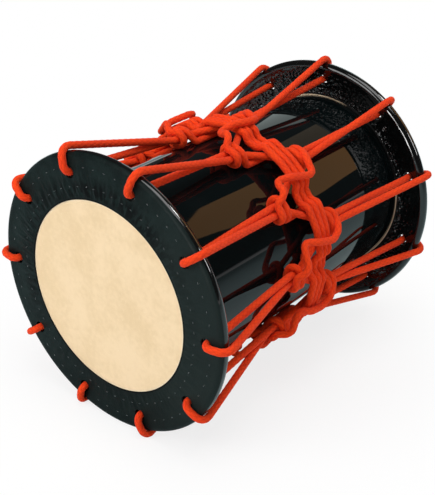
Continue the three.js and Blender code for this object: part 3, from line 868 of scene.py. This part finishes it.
def hitch_route():
    """Two wraps on each front pair, a strand to the rear pair, two wraps there and a run back."""
    route = [at(-PITCH / 2 + RUN_SIDE, FRONT_HITCH_Y + TAIL_LENGTH, UNDER)]
    for k in range(HOLE_COUNT):
        front, rear = PITCH * k, PITCH * (k + 0.5)
        route.append(at(rear - PITCH + RUN_SIDE, FRONT_HITCH_Y + RUN_END, UNDER))
        route += hitch_turn(front, *FRONT_WRAP_STEPS, FRONT_WRAP_Y)
        route += cross_strand(front, rear, BIGHT_REACH[k])
        route += hitch_turn(rear, *REAR_WRAP_STEPS, REAR_WRAP_Y)
        route += by_pair(rear, REAR_HITCH_Y, RUN_START)
        if k < HOLE_COUNT - 1:
            route.append(at(rear + RUN_SIDE, REAR_HITCH_Y - RUN_BACK, UNDER))
    return route


def band_y(angle):
    return BAND_REAR_Y - BAND_PITCH * (angle / 360 - 1)


def lap_point(angle, level):
    """A point of a lap, which sways a little and rides up where it does."""
    turn = math.radians(angle)
    sway = Vector((math.cos(turn) * SWAY_SCALE, math.sin(turn) * SWAY_SCALE, angle / SWAY_TURN))
    lift = 0.5 * BAND_SWAY * abs(noise.noise(sway * 1.7))
    return at(angle, band_y(angle) + BAND_SWAY * noise.noise(sway), level + lift)


def band_route():
    """Flat laps round the waist, dipping between the arms of each front pair, with the end tucked under."""
    dip_radius = WAIST / math.cos(math.radians(BAND_DIP))
    start, end = 360, 360 * (1 + BAND_LAPS)
    marks = [(start - BAND_DIP, dip_radius)]
    for k in range(BAND_LAPS * HOLE_COUNT):
        front = start + PITCH * k
        if k > 0:
            marks += [(front - 2 * BAND_DIP, OVER), (front - BAND_DIP, dip_radius)]
        marks += [(front + BAND_DIP, dip_radius), (front + 2 * BAND_DIP, OVER), (front + PITCH / 2, OVER)]
    marks += [(end - 2 * BAND_DIP, OVER), (end - BAND_DIP, dip_radius)]
    first = [at(start - 7.5, band_y(start) + 1, UNDER + 5)]
    tucked = [
        at(end, band_y(end), WAIST - 3),
        at(end + 2.5, band_y(end), UNDER + 1),
        at(end + 6, band_y(end) + 3, UNDER),
    ]
    return first + [lap_point(angle, level) for angle, level in marks] + tucked


# Ropes: braided tubes along smooth curves through their routes
def even_points(route, cyclic):
    """Points at even steps along a route, and its length."""
    corners = [np.array(point) for point in route] + ([np.array(route[0])] if cyclic else [])
    lengths = [np.linalg.norm(b - a) for a, b in zip(corners, corners[1:])]
    total = sum(lengths)
    marks = np.linspace(0, total, round(total / ROPE_STEP), endpoint=not cyclic)
    reached = np.concatenate([[0], np.cumsum(lengths)])
    stacked = np.array(corners)
    return np.stack([np.interp(marks, reached, stacked[:, axis]) for axis in range(3)], axis=1), total


def rope_piece(name, route, cyclic, nodes):
    points, length = even_points(route, cyclic)
    line = bpy.data.curves.new(name, "CURVE")
    line.dimensions = "3D"
    line.bevel_depth = ROPE_RADIUS * MM
    line.bevel_resolution = ROPE_BEVEL
    spline = line.splines.new("NURBS")
    spline.points.add(len(points) - 1)
    for knot, point in zip(spline.points, points):
        knot.co = (*(DRUM_TO_SCENE @ Vector(point)), 1)
    spline.order_u = 4
    spline.use_cyclic_u = cyclic
    spline.use_endpoint_u = not cyclic
    spline.resolution_u = RINGS_PER_STEP
    tube = bpy.data.objects.new(name, line)
    bpy.context.scene.collection.objects.link(tube)
    mesh = evaluated_mesh(tube)
    bpy.data.objects.remove(tube)
    bpy.data.curves.remove(line)
    braid(mesh, length)
    mesh.name = name
    mesh.shade_smooth()
    show(name, mesh, ROPE, nodes)


def braid(mesh, length):
    """Raises the braid's strands on a tube, presses it flat on the floor and maps its run."""
    sides = 2 * (ROPE_BEVEL + 2)
    spots = np.empty(len(mesh.vertices) * 3)
    mesh.vertices.foreach_get("co", spots)
    spots = spots.reshape(-1, sides, 3)
    rings = len(spots)
    ring_run = round(length / BRAID_LENGTH) / rings
    run = np.arange(rings)[:, None] * ring_run
    around = BRAID_STARTS * (np.arange(sides)[None, :] / sides)
    weave = np.abs(np.cos(math.pi * (around + run)) * np.cos(math.pi * (around - run)))
    centre = spots.mean(axis=1, keepdims=True)
    spots = centre + (spots - centre) * (1 + BRAID_RISE / ROPE_RADIUS * (2 * weave - 0.8))[:, :, None]
    spots[:, :, 2] = np.maximum(spots[:, :, 2], FLOOR_CLEARANCE * MM)
    mesh.vertices.foreach_set("co", spots.ravel())
    corners = np.empty(len(mesh.loops), dtype=np.int64)
    mesh.loops.foreach_get("vertex_index", corners)
    quads = corners.reshape(-1, 4)
    ring, side = quads // sides, quads % sides
    ring = np.where((ring == 0) & (ring.max(axis=1, keepdims=True) == rings - 1), rings, ring)
    side = np.where((side == 0) & (side.max(axis=1, keepdims=True) == sides - 1), sides, side)
    layer = mesh.uv_layers[0] if mesh.uv_layers else mesh.uv_layers.new()
    layer.name = "rope_run"
    layer.data.foreach_set("uv", np.stack([ring * ring_run, side / sides], axis=2).ravel())
    mesh.update()


# Studio: a pale floor, a white background, soft lamps, and cards that show only in the gloss
def pale_floor():
    """Paper that keeps a soft shadow near the drum and is white further off; in reflections it takes a
    painted teal tint.
    """
    shape = bmesh.new()
    bmesh.ops.create_circle(shape, cap_ends=True, segments=64, radius=FLOOR_RADIUS)
    mesh = bpy.data.meshes.new("studio_floor")
    shape.to_mesh(mesh)
    shape.free()
    material = bpy.data.materials.new("studio_floor_paper")
    material.use_nodes = True
    tree = material.node_tree
    tree.nodes.clear()
    path = put(tree, "ShaderNodeLightPath").outputs
    # Painted reflection: the floor is teal only where glossy rays see it
    tint = blend_colour(tree, path["Is Glossy Ray"], FLOOR_PAPER, FLOOR_PAINTED_REFLECTION_TINT)
    paper = put(tree, "ShaderNodeBsdfDiffuse", {"Color": tint})
    glow = put(tree, "ShaderNodeEmission", {"Color": WHITE, "Strength": 1.0})
    place = put(tree, "ShaderNodeTexCoord").outputs["Object"]
    distance = put(tree, "ShaderNodeVectorMath", {0: place}, operation="LENGTH").outputs["Value"]
    seen = product(tree, ease(tree, distance, *SHADOW_REACH, SHADOW_GLOW, 1.0), path["Is Camera Ray"])
    mixed = blend_shader(tree, seen, paper, glow)
    put(tree, "ShaderNodeOutputMaterial", {"Surface": mixed.outputs[0]})
    mesh.materials.append(material)
    floor = bpy.data.objects.new("studio_floor", mesh)
    bpy.context.scene.collection.objects.link(floor)


def studio_air():
    """A white background; the gloss sees it near the horizon and a dim studio above."""
    world = bpy.data.worlds.new("studio_air")
    bpy.context.scene.world = world
    world.use_nodes = True
    tree = world.node_tree
    tree.nodes.clear()
    path = put(tree, "ShaderNodeLightPath").outputs
    direction = put(tree, "ShaderNodeTexCoord").outputs["Generated"]
    height = put(tree, "ShaderNodeSeparateXYZ", {0: direction}).outputs["Z"]
    gloss = blend_colour(tree, ease(tree, height, 0.0, 0.03), WHITE, AIR_IN_GLOSS)
    soft = put(tree, "ShaderNodeBackground", {"Color": WHITE, "Strength": AIR_LEVEL})
    mirror = put(tree, "ShaderNodeBackground", {"Color": gloss, "Strength": 1.0})
    white = put(tree, "ShaderNodeBackground", {"Color": WHITE, "Strength": 1.0})
    shiny = sums(tree, "ADD", path["Is Glossy Ray"], path["Is Transmission Ray"], clamp=True)
    lit = blend_shader(tree, shiny, soft, mirror)
    seen = blend_shader(tree, path["Is Camera Ray"], lit, white)
    put(tree, "ShaderNodeOutputWorld", {"Surface": seen.outputs[0]})


def soft_lamp(name, place, width, height, level, colour=(1, 1, 1), aim=(0, 0, 0.17), card=False, gloss=True):
    """An area lamp; level is the light on a white surface that faces it, or a card's own brightness."""
    lamp = bpy.data.lights.new(name, "AREA")
    lamp.shape, lamp.size, lamp.size_y, lamp.color = "RECTANGLE", width, height, colour
    reach = Vector(aim) - Vector(place)
    lamp.energy = level * math.pi * (width * height if card else math.pi * reach.length_squared)
    holder = bpy.data.objects.new(name, lamp)
    holder.location = place
    holder.rotation_euler = reach.to_track_quat("-Z", "Y").to_euler()
    holder.visible_camera = False
    holder.visible_diffuse = not card
    holder.visible_glossy = gloss
    bpy.context.scene.collection.objects.link(holder)


def wall_card(name, x, z, width, height, level, colour):
    """A card that hangs behind the drum and faces it squarely."""
    soft_lamp(name, (x, WALL_Y, z), width, height, level, colour, aim=(x, 0, z), card=True)


def studio_lamps():
    soft_lamp("lamp_front", (-0.7, -2.0, 1.5), 1.5, 1.2, 0.46)
    soft_lamp("lamp_top", (0.5, -0.3, 2.4), 1.5, 1.5, 0.56)
    soft_lamp("lamp_rear", (-0.4, 2.4, 0.5), 1.2, 0.8, 0.3, gloss=False)
    wall_card("card_warm", 0.94, 1.41, 0.88, 1.27, 1.75, (1.0, 0.5, 0.18))
    wall_card("card_dim", 0.09, 1.44, 0.78, 0.44, 0.5, (1.0, 0.75, 0.5))
    wall_card("card_grey", -0.7, 0.95, 0.95, 0.75, 1.0, (0.85, 1.0, 0.97))
    soft_lamp("glint_top", (0.86, 0.79, 2.18), 0.35, 0.35, 36, card=True)
    soft_lamp("glint_side", (2.07, 0.83, 1.34), 0.25, 0.7, 24, card=True)
    soft_lamp("glint_front", (0.1, -2.5, 0.8), 0.45, 0.45, 24, card=True)
    soft_lamp("glint_low", (0.42, -2.6, 0.3), 0.6, 0.45, 24, card=True)


photo_camera()
pale_floor()
studio_air()
studio_lamps()
shell_piece()
for head_label, head_end in (("front", -1), ("rear", 1)):
    hide_piece(head_label, head_end)
    coat_piece(head_label, head_end)
    stitch_piece(head_label, head_end)
    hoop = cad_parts[head_label + "_hoop"]
    hoop.data.materials.clear()
    hoop.data.materials.append(IRON)
leg_nodes = [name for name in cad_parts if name.startswith("lacing_leg_")]
rope_piece("lacing_rope", lacing_route(), True, leg_nodes)
rope_piece("waist_lashing_rope", hitch_route() + band_route(), False, ["waist_lashing"])
bpy.context.scene.view_settings.view_transform = "Standard"

bpy.context.view_layer.update()
